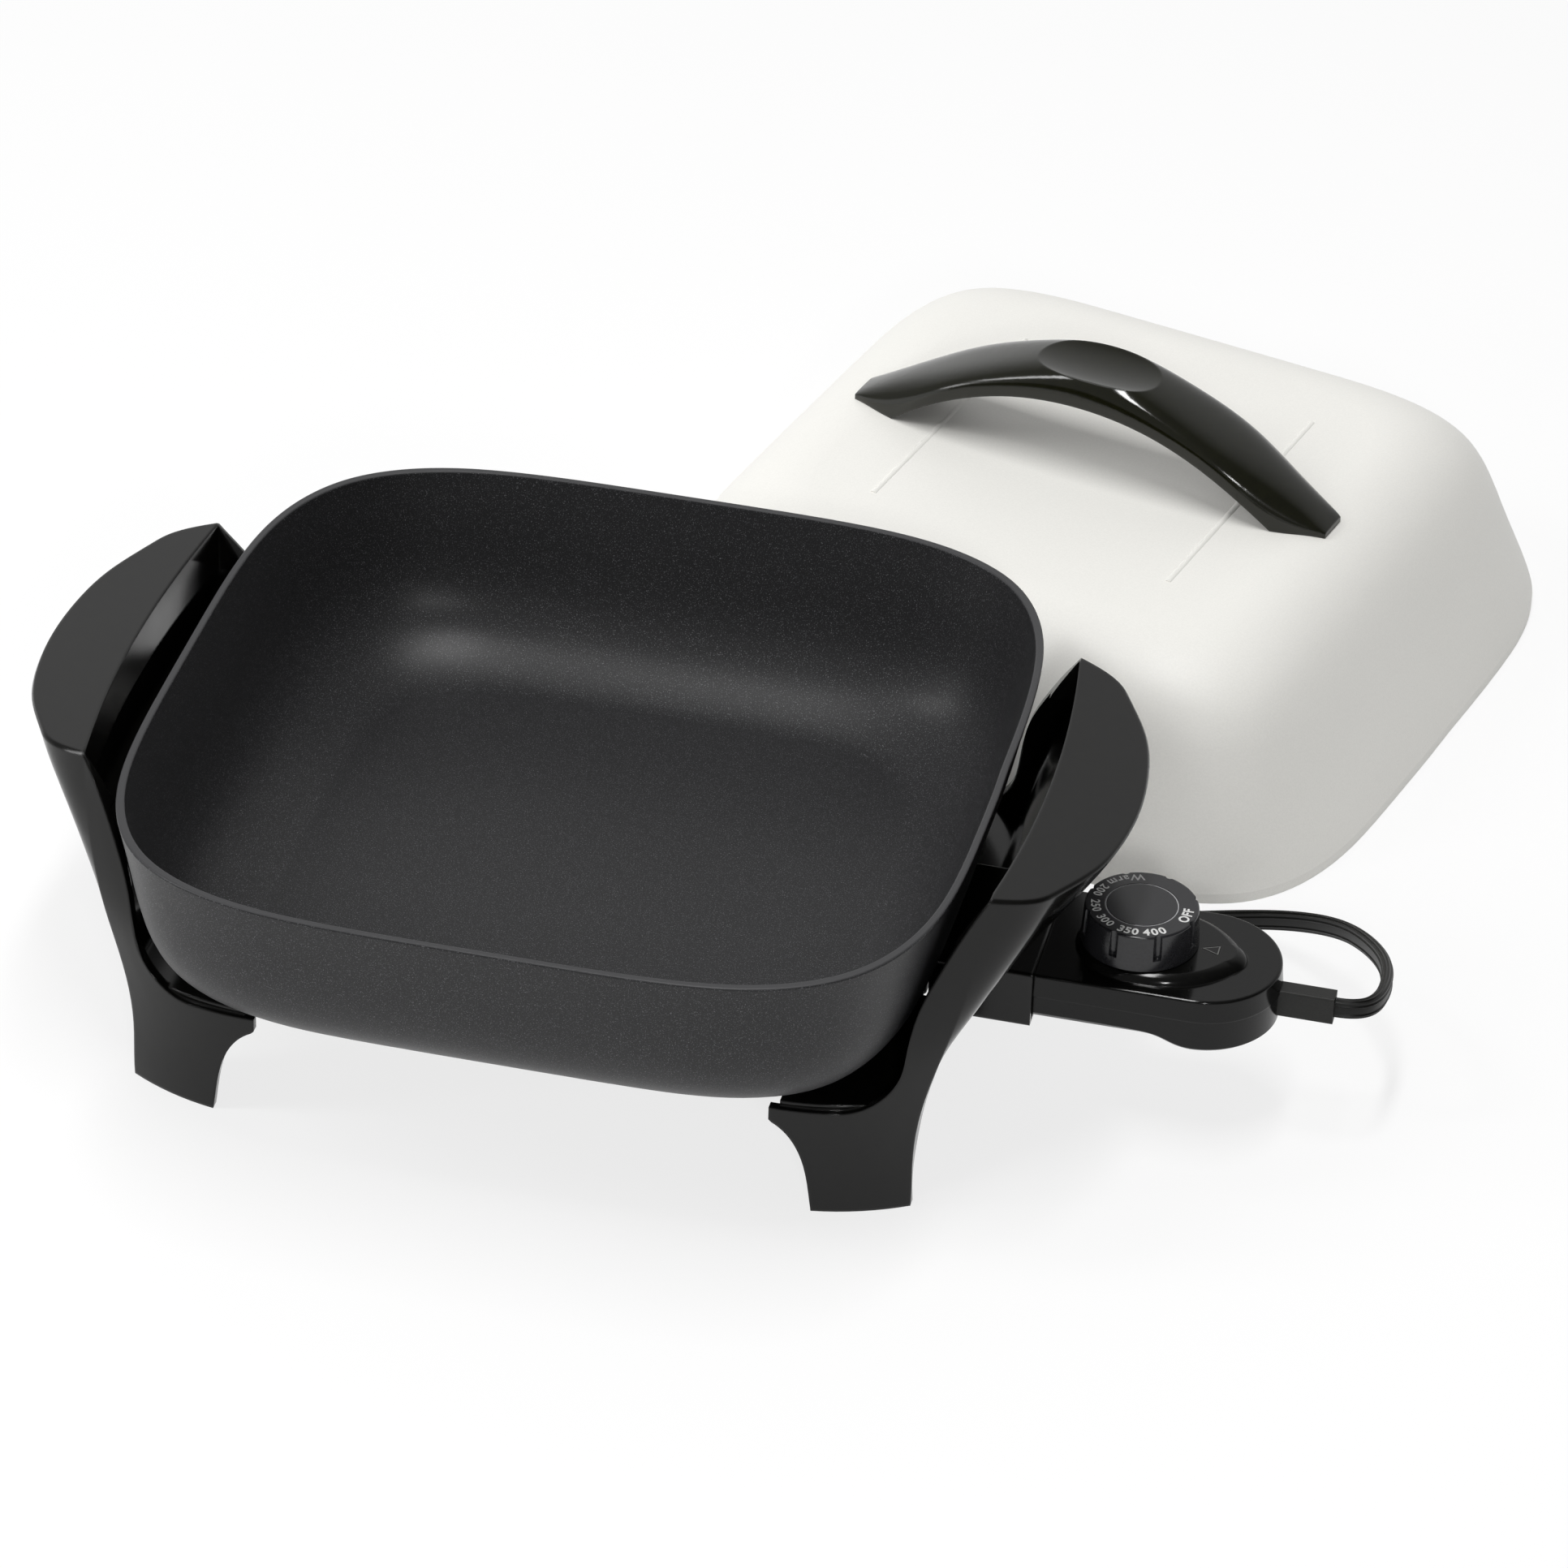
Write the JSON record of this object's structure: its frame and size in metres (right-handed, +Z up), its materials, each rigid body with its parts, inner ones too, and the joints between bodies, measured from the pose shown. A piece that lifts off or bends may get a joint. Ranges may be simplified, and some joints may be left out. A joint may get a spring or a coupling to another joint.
{
  "type": "electric skillet",
  "caption": "Square electric skillet with black moulded leg-and-grip handles, plug-in heat control with dial, and a lift-off white dome lid.",
  "frame": {"origin": "table level under the middle of the pan, whose four feet stand on Z = 0", "axes": "+X towards the heat control and its cord, +Y towards the lid lying behind the pan, +Z up"},
  "size_m": [0.4765, 0.5787, 0.1216],
  "materials": {
    "nonstick_black": "satin non-stick coating",
    "element_steel": "oxidised sheath",
    "contact_metal": "plain",
    "ceramic_white": "fired ceramic, matte",
    "phenolic_black": "gloss moulding",
    "screw_steel": "zinc plated",
    "lid_white": "satin warm white",
    "control_black": "semi-gloss moulding",
    "probe_steel": "drawn",
    "insulator_tan": "mica filled",
    "lamp_glass": "clear",
    "lens_dark": "dark lens",
    "dial_charcoal": "satin",
    "rubber_black": "matte",
    "cord_black": "vinyl"
  },
  "bodies": {
    "skillet": {"pan": "nonstick_black", "heating_element": "element_steel", "terminal_pins": "contact_metal", "terminal_insulators": "ceramic_white", "left_handle_legs": "phenolic_black", "right_handle_legs": "phenolic_black", "base_screws": "screw_steel"},
    "lid": {"lid_dome": "lid_white", "lid_handle": "phenolic_black", "lid_handle_screws": "screw_steel", "lid_handle_washers": "screw_steel"},
    "heat_control": {"control_upper_housing": "control_black", "control_lower_housing": "control_black", "control_screws": "screw_steel", "probe_rod": "probe_steel", "nose_insulator": "insulator_tan", "contact_receptacles": "contact_metal", "thermostat_frame": "screw_steel", "bimetal_blade": "contact_metal", "contact_blades": "contact_metal", "pilot_lamp": "lamp_glass", "pilot_lens": "lens_dark", "strain_relief": "rubber_black", "cord": "cord_black", "plug_body": "cord_black", "plug_blades": "contact_metal"},
    "dial": {"dial_knob": "dial_charcoal", "dial_shaft": "probe_steel"}
  },
  "joints": [
    {"name": "lid_lift", "type": "slide", "parent": "skillet", "child": "lid", "axis": [0.0491, 0.1939, 0.9798], "range_m": [0, 0.15]},
    {"name": "control_unplug", "type": "slide", "parent": "skillet", "child": "heat_control", "axis": [1, 0, 0], "range_m": [0, 0.08]},
    {"name": "dial_turn", "type": "hinge", "parent": "heat_control", "child": "dial", "pos_m": [0.1945, 0, 0.069], "axis": [0, 0, 1], "range_deg": [-295, 0]}
  ]
}
